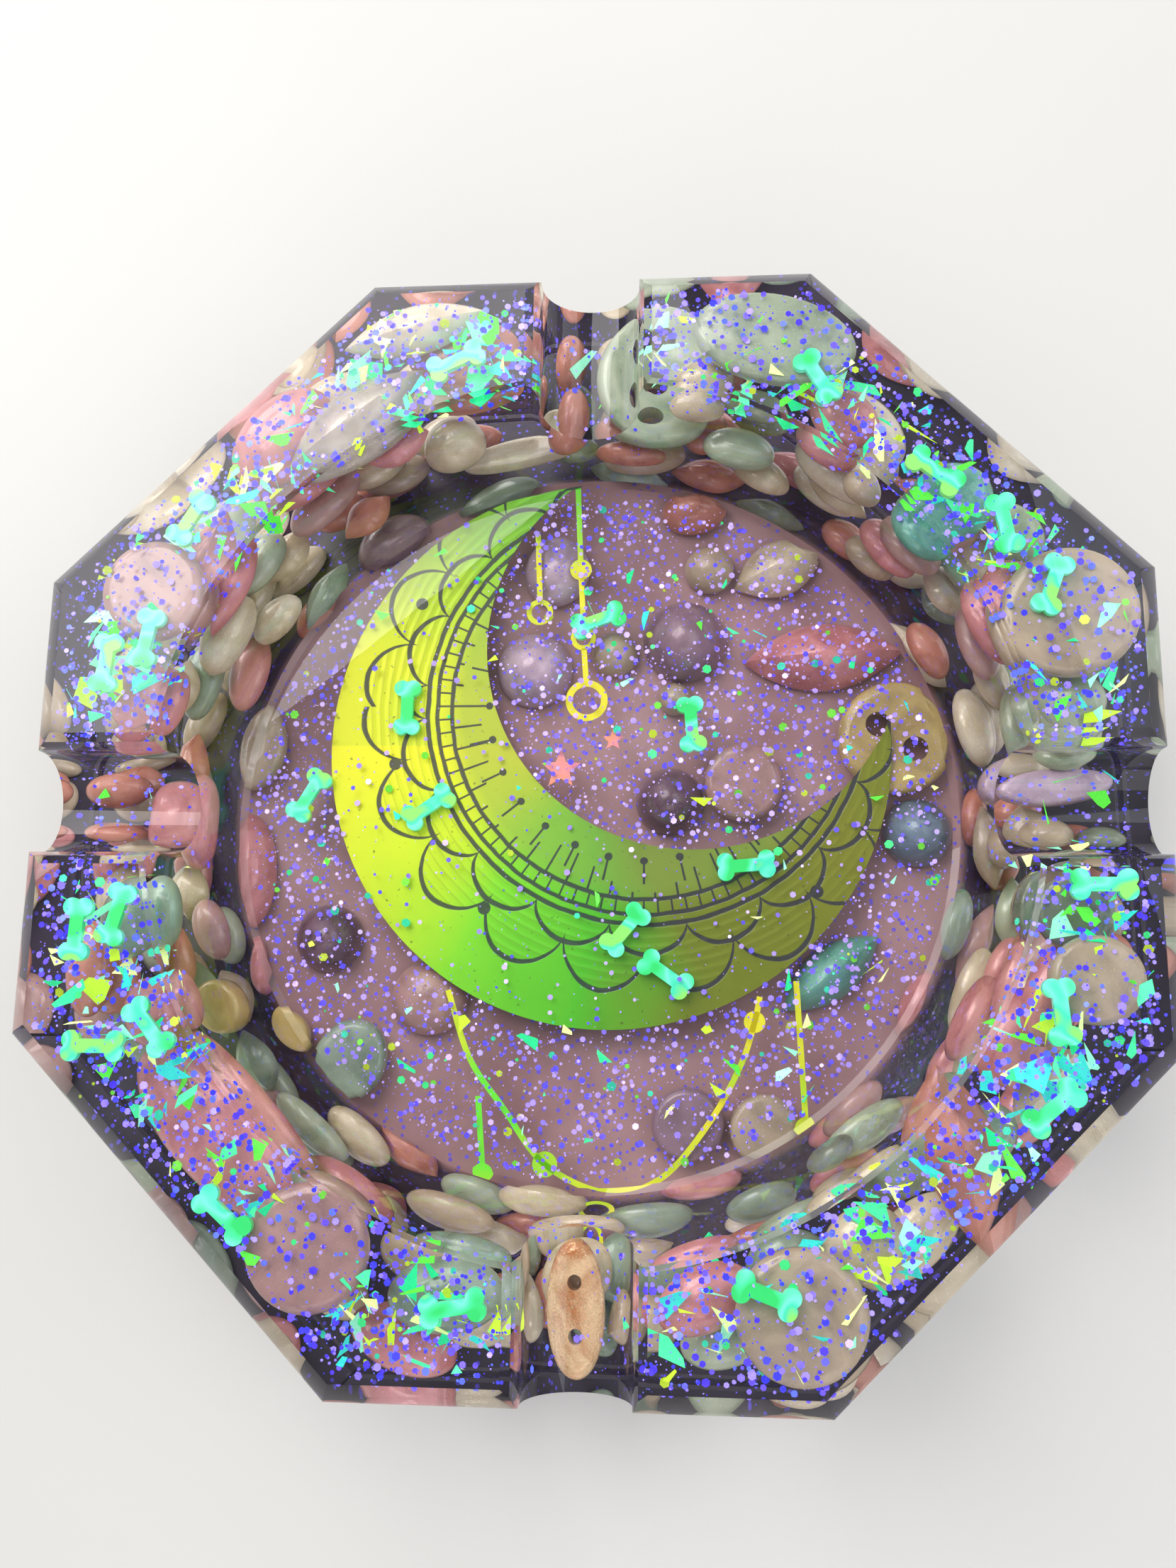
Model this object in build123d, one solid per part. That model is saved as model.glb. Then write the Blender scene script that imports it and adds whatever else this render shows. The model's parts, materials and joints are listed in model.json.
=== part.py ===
from build123d import *
import os

os.makedirs("parts", exist_ok=True)

# An octagonal dish of clear cast resin with a round well and four U-shaped notches in its rim.
# Millimetres. The origin is the centre of the underside, +Z is up and the flats face X and Y.
# The dish was cast upside down in layers: four corner pours, a ring pour, a floor pour and a base
# pour. Beads, foil and confetti are sealed in the layers.

# ---- driving dimensions ----
ACROSS_FLATS = 120.0
HEIGHT = 28.0
RIM_CHAMFER = 2.2
BASE_CHAMFER = 0.6

FLOOR_Z = 12.0  # top of the well's floor
FLOOR_BEVEL = 1.2
WALL_FOOT_RADIUS = 42.0  # the well just above its floor bevel
WALL_TOP_RADIUS = 46.5  # the well at the rim
LIP_RADIUS = 0.8

NOTCH_WIDTH = 11.2
NOTCH_DEPTH = 9.0
NOTCH_LIP = 1.5

BASE_TOP = 6.0  # joint between the base pour and the floor pour
CORNER_FILL = 8.0  # depth of the four corner pours, which end 1 mm short of the notch ridges
RING_TOP = HEIGHT - CORNER_FILL

FOIL_Z = 9.9  # underside of the foil pieces
FOIL_THICK = 0.12
CHAIN_WIDTH = 0.65
BONE_LENGTH, BONE_WIDTH = 6.6, 3.2
STAR_THICK = 0.4

# ---- where beads lie in a layer: the height of each bed above the base ----
LOW, MID = 6.4, 10.25  # floor pour: bed of the beads, and of the confetti over the foil
DEEP, RING = 12.4, 15.6  # ring pour
UNDER, UPPER, CREST = 20.3, 23.5, 26.35  # corner pours: two beds of beads, confetti on top

# ---- beads: node, shape, x, y, bed, length, width, height, turn in degrees ----
FLOOR_BEADS = [
    ("frosted_cabochon", "pearl", -7.5, 19, LOW, 9.2, 9.2, 5.0, 0),
    ("mauve_half_pearl", "pearl", 10.6, 22.4, LOW, 10, 10, 5.1, 0),
    ("bronze_half_pearl", "pearl", 8.8, 2.9, LOW, 8, 8, 4.8, 0),
    ("rose_disc", "disc", 17.4, 5, LOW, 9.2, 9.2, 3.2, 0),
    ("lavender_oval", "dome", -5, 31.5, LOW, 9, 8, 3.2, 80),
    ("cream_marquise", "marquise", 22, 31.5, LOW, 12, 7, 3.6, 25),
    ("rose_marquise", "marquise", 27, 20.3, LOW, 19, 8.4, 4.2, 4),
    ("tan_button", "button", 35.2, 10.3, LOW, 13.4, 13.4, 2.8, -35),
    ("blue_half_pearl", "pearl", 37.4, -0.8, LOW, 8, 8, 4.6, 0),
    ("salmon_oval", "dome", 11.8, 39, LOW, 8, 6, 3.3, 10),
    ("olive_marquise", "marquise", 22.5, 41.2, LOW, 10, 4.4, 3.2, -20),
    ("sage_disc", "disc", -28, -27.6, LOW, 10, 8.4, 3.0, 60),
    ("marbled_cabochon", "dome", -19, -20.3, LOW, 9, 8.6, 3.3, 0),
    ("brown_half_pearl", "pearl", -31.2, -13.5, LOW, 8, 8, 4.6, 0),
    ("wall_ovals", "dome", -41.5, -5.6, LOW, 14, 7, 3.6, 92),
    ("wall_ovals", "dome", -41.0, -17.6, LOW, 8.6, 4.4, 3.2, 75),
    ("wall_ovals", "dome", 37.3, -20.9, LOW, 8.4, 5.2, 3.6, 70),
    ("tan_discs", "disc", -36.2, -25, LOW, 7, 6.4, 3.0, 0),
    ("mauve_disc", "disc", 10.9, -34, LOW, 8.2, 8.2, 3.0, 0),
    ("cream_disc", "disc", 19.4, -34.4, LOW, 7.8, 7.8, 3.0, 0),
    ("green_marquise", "marquise", 27.2, -17, LOW, 14, 6, 3.3, 38),
    ("stone_disc", "disc", -41.5, 9.6, LOW, 11, 8, 3.0, 85),
    ("violet_cabochon", "dome", -26.8, 37.4, LOW, 11, 9.5, 4.4, 20),
    ("small_beads", "dome", 9.4, 15.3, LOW, 4, 4, 2.6, 0),
    ("small_beads", "dome", 13.6, 31.4, LOW, 6, 6, 3.2, 0),
    ("small_beads", "dome", 2.2, 20.9, LOW, 5.6, 5.6, 3.2, 0),
]
RING_BEADS = [
    ("tan_discs", "disc", -44.5, -23.5, DEEP, 8.4, 7, 3.4, 30),
    ("cream_ovals", "dome", -17.5, 46.8, RING, 9, 8, 3.9, 100),
    ("flat_oval", "disc", -9.5, 46.6, DEEP, 15, 4.4, 2.2, 12),
    ("pebble_ovals", "dome", -4.6, 55.2, DEEP, 8, 6, 3.6, 75),
    ("pebble_ovals", "dome", -3.2, 47.6, RING, 7.4, 5, 2.8, 80),
    ("pebble_ovals", "dome", -55.2, 4.2, DEEP, 8, 6.2, 3.8, 10),
    ("pebble_ovals", "dome", -55.0, -3.4, DEEP, 8, 4.2, 3.2, -8),
    ("pale_button", "button", 7.6, 52.0, RING, 14.6, 14.6, 2.4, 80),
    ("pebble_ovals", "dome", 4.4, 46.4, DEEP, 9, 4.2, 2.4, -5),
    ("pebble_ovals", "dome", 14.6, 50.6, DEEP, 8, 5.4, 2.8, 60),
    ("pink_barrel", "barrel", -47.4, -0.8, DEEP, 12, 6.8, 5.4, 88),
    ("shell_button", "button", -0.8, -52.2, RING, 14, 7.2, 2.4, 92),
    ("moss_pebbles", "dome", 27, -37.8, RING, 6, 5, 3.0, 40),
    ("moss_pebbles", "dome", 56.0, -4.2, DEEP, 5.4, 4.8, 3.2, 0),
    ("grey_oval", "disc", 51.2, 4.2, DEEP, 12.6, 5.8, 3.0, 8),
    ("small_beads", "dome", 50.2, -3.4, DEEP, 6, 6, 3.4, 0),
    ("rose_pebble", "dome", -28, -46, RING, 13, 9, 3.9, -40),
    ("rose_pebble", "dome", 44.5, -24, RING, 11, 7, 3.8, 65),
    ("ivory_pebble", "dome", 30.5, 43.5, RING, 12, 8, 3.9, -45),
    ("ivory_pebble", "dome", -45.5, 22.5, RING, 11, 7.4, 3.9, 65),
]
CORNER_BEADS = [
    ("ivory_marquise", "marquise", -20, 54.6, UPPER, 17, 6.2, 2.6, 15),
    ("silver_marquise", "marquise", -26.4, 43.9, UPPER, 19, 7.6, 2.6, 38),
    ("salmon_oval", "dome", -14.6, 52.6, UNDER, 13, 8, 2.9, 8),
    ("pink_ovals", "dome", -35.4, 42.8, UNDER, 14, 9.6, 2.9, 48),
    ("blush_disc", "disc", -48.2, 23.6, UPPER, 11.6, 11.6, 2.5, 0),
    ("pink_marquise", "marquise", -43.2, 27.4, UNDER, 14, 6, 2.9, 76),
    ("pink_ovals", "dome", -50.2, 12.6, UNDER, 8.4, 6, 2.9, 70),
    ("sage_ovals", "dome", -49, -12.4, UNDER, 9, 7, 2.9, 75),
    ("long_pink_oval", "dome", -38.4, -34.8, UNDER, 23, 9.6, 2.9, -45),
    ("blush_disc", "disc", -27.2, -45.6, UPPER, 12.8, 12.8, 2.5, 0),
    ("sage_ovals", "dome", -13.4, -50.2, UNDER, 12, 7.6, 2.9, 4),
    ("beige_disc", "disc", 22, -50.8, UPPER, 13, 13, 2.5, 0),
    ("cream_ovals", "dome", 28.4, -44.2, UNDER, 8.6, 7, 2.9, 30),
    ("pink_spindle", "marquise", 38.4, -35.8, UNDER, 17.4, 7.4, 2.9, 99),
    ("beige_disc", "disc", 51.6, -18.2, UPPER, 9.6, 9, 2.5, 0),
    ("olive_disc", "disc", 50.4, -11.4, UNDER, 8, 8, 2.7, 0),
    ("celadon_oval", "disc", 20.6, 52.0, UPPER, 18.4, 10.6, 2.5, -14),
    ("cream_marquise", "marquise", 20.4, 53.4, UNDER, 14, 6, 2.9, -8),
    ("cream_ovals", "dome", 12.8, 48.6, UNDER, 7, 5, 2.9, 10),
    ("small_beads", "dome", 31.8, 37.6, UNDER, 5, 5, 2.7, 0),
    ("sea_green_oval", "dome", 39.6, 33.4, UNDER, 10, 9, 2.9, 40),
    ("pink_ovals", "dome", 46.8, 21.6, UNDER, 11, 8, 2.9, 119),
    ("sand_disc", "disc", 51.0, 20.0, UPPER, 14.6, 14, 2.5, 30),
]
CROWN_SHARE = 0.3  # a domed bead's bevel beside its height
EDGE_SHARE = 0.2  # a flat disc's bevel beside its height
HOLE_SHARE = 0.11  # a button hole's radius beside the button's length
HOLE_SPREAD = 0.19  # and how far each hole is from the middle

# ---- confetti bones: x, y, bed, turn in degrees ----
BONES = [
    (-22.4, 13.8, MID, 90), (-19.4, 1.8, MID, 35), (-33.8, 3.2, MID, 60),
    (0.3, 24.4, MID, 20), (11.4, 11.6, MID, 95), (17.6, -5, MID, 5),
    (3.8, -12.4, MID, 50), (8.4, -17.4, MID, -35), (-52.4, 15, CREST, 85),
    (-48, 17.8, CREST, 80), (-53.2, -14, CREST, 88), (-49, -12.4, CREST, 75),
    (-50.4, -26, CREST, 0), (-44.6, -24, CREST, -50), (-44, 31.6, CREST, 60),
    (-35.6, -42.4, CREST, -40), (-14.8, 49.6, CREST, 25), (25.2, 46.6, CREST, -60),
    (37.4, 35.4, CREST, -40), (44.4, 29.4, CREST, 100), (49, 22.6, CREST, 70),
    (52.4, -8.8, CREST, 0), (47.6, -21.4, CREST, 95), (46.4, -30.6, CREST, 40),
    (18.5, -48.6, CREST, -20), (-12, -50.6, CREST, 10),
]  # fmt: skip

# ---- foil: the moon, and chains that hang from it ----
MOON_CENTRE, MOON_RADIUS = (1.5, 9.3), 33.0
HOLLOW_CENTRE, HOLLOW_RADIUS = (11.5, 21.5), 24.6
STARS = [(2.2, 9.8, 1.3), (-3.9, 6.3, 2.4)]
# each run: its node, its points, and the discs and rings on it as (x, y, outer radius, hole radius)
CHAINS = [
    ("left_chain", [(-7.2, 35.6), (-6.8, 27.1)], [(-6.8, 25.7, 1.6, 1.0)]),
    (
        "right_chain",
        [(-2.4, 41.8), (-1.9, 31.0), (-1.5, 23.8)],
        [(-1.9, 31.0, 1.3, 0), (-1.5, 22.4, 1.5, 0.9)],
    ),
    (
        "swag_chain",
        [(-16.5, -19.4), (-13.8, -27), (-9.7, -32.6), (-5, -38.5), (2, -41.4), (8, -39.7),
         (13.2, -33.8), (16.8, -27.4), (18.4, -22.6), (19.1, -19.4)],
        [(-5, -38.5, 1.4, 0), (18.4, -22.6, 1.2, 0)],
    ),
    ("drop_chains", [(-12.7, -31.2), (-12, -39.0)], [(-12, -39.7, 1.2, 0)]),
    ("drop_chains", [(23.1, -18.0), (23.9, -33.4)], [(23.9, -34.1, 1.2, 0)]),
    ("right_chain", [(-1.4, 21.1), (-1.1, 17.0)], [(-1.0, 14.7, 2.5, 1.7)]),
]  # fmt: skip
PENDANT_LOOPS = [(0.9, -46.2, 2.2, 1.55), (3.6, -48.8, 2.2, 1.55)]
PENDANT_LEAF = (2.2, -53.2, 5.0, 2.2)


# ---- resin ----
def layer(low, high):
    """A slab wider than the dish, to cut one pour out of the blank."""
    side = 2 * ACROSS_FLATS
    return Pos(0, 0, low) * Box(side, side, high - low, align=(Align.CENTER, Align.CENTER, Align.MIN))


def octagon_block():
    outline = RegularPolygon(ACROSS_FLATS / 2, 8, major_radius=False, rotation=22.5)
    block = extrude(outline, HEIGHT)
    block = chamfer(block.faces().sort_by(Axis.Z)[-1].edges(), RIM_CHAMFER)
    return chamfer(block.faces().sort_by(Axis.Z)[0].edges(), BASE_CHAMFER)


def well_plug():
    """The mould's core for the well: floor bevel, drafted wall and a flared lip."""
    foot_z = FLOOR_Z + FLOOR_BEVEL
    lip_z = HEIGHT - LIP_RADIUS
    points = [
        (0, FLOOR_Z),
        (WALL_FOOT_RADIUS - FLOOR_BEVEL, FLOOR_Z),
        (WALL_FOOT_RADIUS, foot_z),
        (WALL_TOP_RADIUS, lip_z),
        (WALL_TOP_RADIUS + LIP_RADIUS, HEIGHT),
        (WALL_TOP_RADIUS + LIP_RADIUS, HEIGHT + 1),
        (0, HEIGHT + 1),
    ]
    half = Plane.XZ * make_face(Polyline(*points, close=True))
    return revolve(half, Axis.Z)


def notch_ridge():
    """One ridge that spans the mould: a full-round U with flared lips, along Y."""
    radius = NOTCH_WIDTH / 2
    centre_z = HEIGHT - NOTCH_DEPTH + radius
    flare = [
        (-radius - NOTCH_LIP, HEIGHT),
        (-radius, HEIGHT - NOTCH_LIP),
        (radius, HEIGHT - NOTCH_LIP),
        (radius + NOTCH_LIP, HEIGHT),
        (radius + NOTCH_LIP, HEIGHT + 1),
        (-radius - NOTCH_LIP, HEIGHT + 1),
    ]
    section = Pos(0, centre_z) * Circle(radius)
    section += Pos(0, centre_z) * Rectangle(
        NOTCH_WIDTH, HEIGHT - NOTCH_LIP - centre_z, align=(Align.CENTER, Align.MIN)
    )
    section += make_face(Polyline(*flare, close=True))
    return extrude(Plane.XZ * section, ACROSS_FLATS, both=True)


def dish_blank():
    blank = octagon_block() - well_plug()
    return blank - notch_ridge() - Rot(Z=90) * notch_ridge()


def pours():
    """The seven resin layers, before anything is sealed in them."""
    blank = dish_blank()
    made = {
        "base_pour": blank & layer(-1, BASE_TOP),
        "floor_pour": blank & layer(BASE_TOP, FLOOR_Z),
        "ring_pour": blank & layer(FLOOR_Z, RING_TOP),
    }
    for block in (blank & layer(RING_TOP, HEIGHT + 1)).solids():
        centre = block.center()
        end = "back" if centre.Y > 0 else "front"
        side = "right" if centre.X > 0 else "left"
        made[f"{end}_{side}_pour"] = block
    return made


# ---- beads: each lies along X with its flat back on z = 0 ----
def lens_outline(length, width):
    rise = width / 2
    radius = (length**2 / 4 + rise**2) / (2 * rise)
    offset = radius - rise
    return Pos(0, offset) * Circle(radius) & Pos(0, -offset) * Circle(radius)


def oval_outline(length, width):
    return SlotOverall(length, width) if length > width else Circle(length / 2)


def crowned(outline, height):
    """A flat-backed bead whose face is bevelled all round."""
    slab = extrude(outline, height)
    return chamfer(slab.edges().group_by(Axis.Z)[-1], CROWN_SHARE * height)


def round_edged(outline, height):
    slab = extrude(outline, height)
    rims = slab.edges().group_by(Axis.Z)
    return chamfer(rims[0] + rims[-1], EDGE_SHARE * height)


def half_pearl(width, height):
    """A spherical cap."""
    radius = (width**2 / 4 + height**2) / (2 * height)
    above = Box(2 * width, 2 * width, height, align=(Align.CENTER, Align.CENTER, Align.MIN))
    return Pos(0, 0, height - radius) * Sphere(radius) & above


def bead(shape, length, width, height):
    if shape == "pearl":
        return half_pearl(width, height)
    if shape == "dome":
        return crowned(oval_outline(length, width), height)
    if shape == "marquise":
        return crowned(lens_outline(length, width), height)
    if shape == "barrel":
        drum = Rot(Y=90) * Cylinder(height / 2, length)
        return Pos(0, 0, height / 2) * chamfer(drum.edges(), CROWN_SHARE * height)
    slab = round_edged(oval_outline(length, width), height)
    if shape == "button":
        for way in (-1, 1):
            slab -= Pos(way * HOLE_SPREAD * length, 0) * Cylinder(HOLE_SHARE * width, 3 * height)
    return slab


def beads(rows):
    """{node: [solids]} for one pour's rows."""
    made = {}
    for node, shape, x, y, bed, length, width, height, turn in rows:
        placed = Pos(x, y, bed) * Rot(Z=turn) * bead(shape, length, width, height)
        made.setdefault(node, []).append(placed)
    return made


def bone_outline():
    knob = BONE_WIDTH / 4 + 0.15
    ends = [
        Pos(way * (BONE_LENGTH / 2 - knob), side * (BONE_WIDTH / 2 - knob)) * Circle(knob)
        for way in (-1, 1)
        for side in (-1, 1)
    ]
    return Rectangle(BONE_LENGTH - 2 * knob, BONE_WIDTH * 0.45) + ends


def bones(lowest, highest):
    """The confetti bones whose bed is in this range of heights."""
    bone = extrude(bone_outline(), 1.15)
    return [
        Pos(x, y, bed) * Rot(Z=turn) * bone
        for x, y, bed, turn in BONES
        if lowest < bed < highest
    ]


def stars():
    made = []
    for x, y, radius in STARS:
        outline = Polygon(
            *[
                Vector(radius * (1 if i % 2 == 0 else 0.45), 0).rotate(Axis.Z, 36 * i + 18)
                for i in range(10)
            ],
            align=None,
        )
        made.append(Pos(x, y, MID) * extrude(outline, STAR_THICK))
    return made


# ---- foil ----
def foil(outline):
    return extrude(Pos(0, 0, FOIL_Z) * outline, FOIL_THICK)


def moon():
    disc = Pos(*MOON_CENTRE) * Circle(MOON_RADIUS)
    return foil(disc - Pos(*HOLLOW_CENTRE) * Circle(HOLLOW_RADIUS))


def chain(points, rings):
    outline = trace(Polyline(*points), CHAIN_WIDTH)
    for x, y, outer, hole in rings:
        outline += Pos(x, y) * Circle(outer)
    for x, y, outer, hole in rings:
        if hole:
            outline -= Pos(x, y) * Circle(hole)
    return foil(outline)


def pendant():
    x, y, length, width = PENDANT_LEAF
    outline = Pos(x, y) * Rot(Z=100) * lens_outline(length, width)
    for loop_x, loop_y, outer, hole in PENDANT_LOOPS:
        outline += Pos(loop_x, loop_y) * (Circle(outer) - Circle(hole))
    return foil(outline)


# ---- assembly ----
def sealed_in_floor():
    made = beads(FLOOR_BEADS)
    for node, points, rings in CHAINS:
        made.setdefault(node, []).append(chain(points, rings))
    made["moon_foil"] = [moon()]
    made["front_pendant"] = [pendant()]
    made["bone_confetti"] = bones(BASE_TOP, FLOOR_Z)
    made["star_confetti"] = stars()
    return made


def solids_of(made):
    return [solid for pieces in made.values() for piece in pieces for solid in piece.solids()]


def write(node, solids):
    export_step(Compound(children=solids), f"parts/{node}.step")


def main():
    resin = pours()
    in_floor = sealed_in_floor()
    in_ring = beads(RING_BEADS)
    in_corners = beads(CORNER_BEADS)
    in_corners.setdefault("bone_confetti", []).extend(bones(RING_TOP, HEIGHT))
    nodes = {}
    for made in (in_floor, in_ring, in_corners):
        for node, pieces in made.items():
            nodes.setdefault(node, []).extend(s for piece in pieces for s in piece.solids())
    held = {"floor_pour": in_floor, "ring_pour": in_ring}
    for name, pour in resin.items():
        if name != "base_pour":
            pour = pour - solids_of(held.get(name, in_corners))
        nodes[name] = pour.solids()
    for node, solids in nodes.items():
        write(node, solids)
    print(len(nodes), "nodes")


main()
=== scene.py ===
import json
import random
from math import atan2, cos, hypot, pi, radians, sin

import bmesh
import bpy
from mathutils import Matrix, Vector


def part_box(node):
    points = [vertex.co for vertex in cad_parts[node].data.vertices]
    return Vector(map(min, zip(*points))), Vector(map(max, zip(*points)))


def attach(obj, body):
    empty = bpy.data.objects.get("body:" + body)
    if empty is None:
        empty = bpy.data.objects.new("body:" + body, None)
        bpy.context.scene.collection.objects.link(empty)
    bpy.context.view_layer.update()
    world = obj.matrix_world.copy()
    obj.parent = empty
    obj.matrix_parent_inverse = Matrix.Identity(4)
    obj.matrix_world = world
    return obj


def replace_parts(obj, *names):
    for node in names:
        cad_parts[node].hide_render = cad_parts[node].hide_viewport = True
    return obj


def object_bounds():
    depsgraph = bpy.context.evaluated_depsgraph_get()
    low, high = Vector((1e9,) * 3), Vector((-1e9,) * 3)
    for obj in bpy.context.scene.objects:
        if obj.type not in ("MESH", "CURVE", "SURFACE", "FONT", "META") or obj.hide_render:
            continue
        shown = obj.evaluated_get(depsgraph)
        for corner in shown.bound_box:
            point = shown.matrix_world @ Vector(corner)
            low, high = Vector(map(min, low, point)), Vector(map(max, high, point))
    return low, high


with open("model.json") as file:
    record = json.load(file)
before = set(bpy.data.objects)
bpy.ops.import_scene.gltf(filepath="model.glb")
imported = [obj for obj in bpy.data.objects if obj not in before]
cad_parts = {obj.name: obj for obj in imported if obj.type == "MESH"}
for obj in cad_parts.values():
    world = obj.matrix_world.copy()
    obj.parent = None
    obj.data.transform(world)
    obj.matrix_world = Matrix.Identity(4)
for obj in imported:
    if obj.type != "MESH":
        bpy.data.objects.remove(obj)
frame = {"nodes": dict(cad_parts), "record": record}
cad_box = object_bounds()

MM = 0.001
BODY = "root"
random.seed(12)

# ---- the dish, in millimetres, as the frame has it ----
low, high = cad_box
ACROSS_FLATS = (high[0] - low[0]) / MM
HEIGHT = high[2] / MM
FLOOR_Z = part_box("floor_pour")[1].z / MM
BASE_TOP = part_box("base_pour")[1].z / MM
RING_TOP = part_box("ring_pour")[1].z / MM
RIM_CHAMFER, BASE_CHAMFER = 2.2, 0.6
FLOOR_BEVEL, LIP = 1.2, 0.8
FOOT_RADIUS, TOP_RADIUS = 42.0, 46.5
NOTCH_WIDTH, NOTCH_DEPTH, NOTCH_LIP = 11.2, 9.0, 1.5

# beds that the beads lie on, and the moon's three circles as (x, y, radius)
LOW, MIDDLE, DEEP, RING, UNDER, UPPER = 6.4, 9.1, 12.4, 15.6, 20.3, 23.5
MOON = (1.5, 9.3, 33.0)
HOLLOW = (11.5, 21.5, 24.6)
BAND = (5.9, 14.1, 25.9)
MOON_DOTS = [(-21.2, 26.9), (-23.7, 7.1), (-12.6, -10.0), (6.8, -15.9), (25.6, -7.9)]

# ---- finishes: a bead's colour, its second colour, and how pearly it is ----
FINISHES = {
    "rose": ("#cf8986", "#b06b69", 0.35),
    "salmon": ("#c07e68", "#a26350", 0.25),
    "blush": ("#b08a80", "#93706a", 0.15),
    "cream": ("#cfc0a0", "#b3a27f", 0.3),
    "ivory": ("#d8cdb4", "#c2b292", 0.45),
    "sand": ("#b3a084", "#97876d", 0.1),
    "tan": ("#c4ab68", "#a58e54", 0.15),
    "sage": ("#8b9c85", "#6d8069", 0.3),
    "moss": ("#76806a", "#5a6552", 0.25),
    "celadon": ("#a9b396", "#8a9a7c", 0.3),
    "mauve": ("#8e727c", "#725864", 0.4),
    "frost": ("#bda6b2", "#9c8594", 0.3),
    "bronze": ("#765a64", "#5a434d", 0.6),
    "slate": ("#6f8290", "#56666f", 0.7),
    "silver": ("#b5aa9b", "#998c7c", 0.75),
    "sea": ("#6fb09a", "#4f8f7c", 0.5),
    "shell": ("#f0cfa0", "#b8733a", 0.9),
}
BEAD_FINISH = {
    "frosted_cabochon": "frost", "mauve_half_pearl": "mauve", "bronze_half_pearl": "bronze",
    "rose_disc": "blush", "lavender_oval": "frost", "cream_marquise": "cream",
    "rose_marquise": "rose", "tan_button": "tan", "blue_half_pearl": "slate",
    "salmon_oval": "salmon", "olive_marquise": "moss", "sage_disc": "sage",
    "marbled_cabochon": "blush", "brown_half_pearl": "bronze", "wall_ovals": "rose",
    "tan_discs": "tan", "mauve_disc": "mauve", "cream_disc": "sand", "green_marquise": "sea",
    "stone_disc": "sand", "violet_cabochon": "mauve", "small_beads": "sand",
    "cream_ovals": "cream", "flat_oval": "ivory", "pebble_ovals": "salmon",
    "pale_button": "celadon", "pink_barrel": "rose", "shell_button": "shell",
    "moss_pebbles": "moss", "grey_oval": "frost", "rose_pebble": "rose",
    "ivory_pebble": "ivory", "ivory_marquise": "ivory", "silver_marquise": "silver",
    "pink_ovals": "rose", "blush_disc": "blush", "pink_marquise": "rose",
    "sage_ovals": "sage", "long_pink_oval": "rose", "beige_disc": "sand",
    "pink_spindle": "salmon", "olive_disc": "moss", "celadon_oval": "celadon",
    "sea_green_oval": "sea", "sand_disc": "sand",
}  # fmt: skip

# ---- beads: node, shape, x, y, bed, length, width, height, turn in degrees ----
FLOOR_BEADS = [
    ("frosted_cabochon", "pearl", -7.5, 19, LOW, 9.2, 9.2, 5.0, 0),
    ("mauve_half_pearl", "pearl", 10.6, 22.4, LOW, 10, 10, 5.1, 0),
    ("bronze_half_pearl", "pearl", 8.8, 2.9, LOW, 8, 8, 4.8, 0),
    ("rose_disc", "disc", 17.4, 5, LOW, 9.2, 9.2, 3.2, 0),
    ("lavender_oval", "dome", -5, 31.5, LOW, 9, 8, 3.2, 80),
    ("cream_marquise", "marquise", 22, 31.5, LOW, 12, 7, 3.6, 25),
    ("rose_marquise", "marquise", 27, 20.3, LOW, 19, 8.4, 4.2, 4),
    ("tan_button", "button", 35.2, 10.3, LOW, 13.4, 13.4, 2.8, -35),
    ("blue_half_pearl", "pearl", 37.4, -0.8, LOW, 8, 8, 4.6, 0),
    ("salmon_oval", "dome", 11.8, 39, LOW, 8, 6, 3.3, 10),
    ("olive_marquise", "marquise", 22.5, 41.2, LOW, 10, 4.4, 3.2, -20),
    ("sage_disc", "disc", -28, -27.6, LOW, 10, 8.4, 3.0, 60),
    ("marbled_cabochon", "dome", -19, -20.3, LOW, 9, 8.6, 3.3, 0),
    ("brown_half_pearl", "pearl", -31.2, -13.5, LOW, 8, 8, 4.6, 0),
    ("wall_ovals", "dome", -41.5, -5.6, LOW, 14, 7, 3.6, 92),
    ("wall_ovals", "dome", -41.0, -17.6, LOW, 8.6, 4.4, 3.2, 75),
    ("wall_ovals", "dome", 37.3, -20.9, LOW, 8.4, 5.2, 3.6, 70),
    ("tan_discs", "disc", -36.2, -25, LOW, 7, 6.4, 3.0, 0),
    ("mauve_disc", "disc", 10.9, -34, LOW, 8.2, 8.2, 3.0, 0),
    ("cream_disc", "disc", 19.4, -34.4, LOW, 7.8, 7.8, 3.0, 0),
    ("green_marquise", "marquise", 27.2, -17, LOW, 14, 6, 3.3, 38),
    ("stone_disc", "disc", -41.5, 9.6, LOW, 11, 8, 3.0, 85),
    ("violet_cabochon", "dome", -26.8, 37.4, LOW, 11, 9.5, 4.4, 20),
    ("small_beads", "dome", 9.4, 15.3, LOW, 4, 4, 2.6, 0),
    ("small_beads", "dome", 13.6, 31.4, LOW, 6, 6, 3.2, 0),
    ("small_beads", "dome", 2.2, 20.9, LOW, 5.6, 5.6, 3.2, 0),
]
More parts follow.
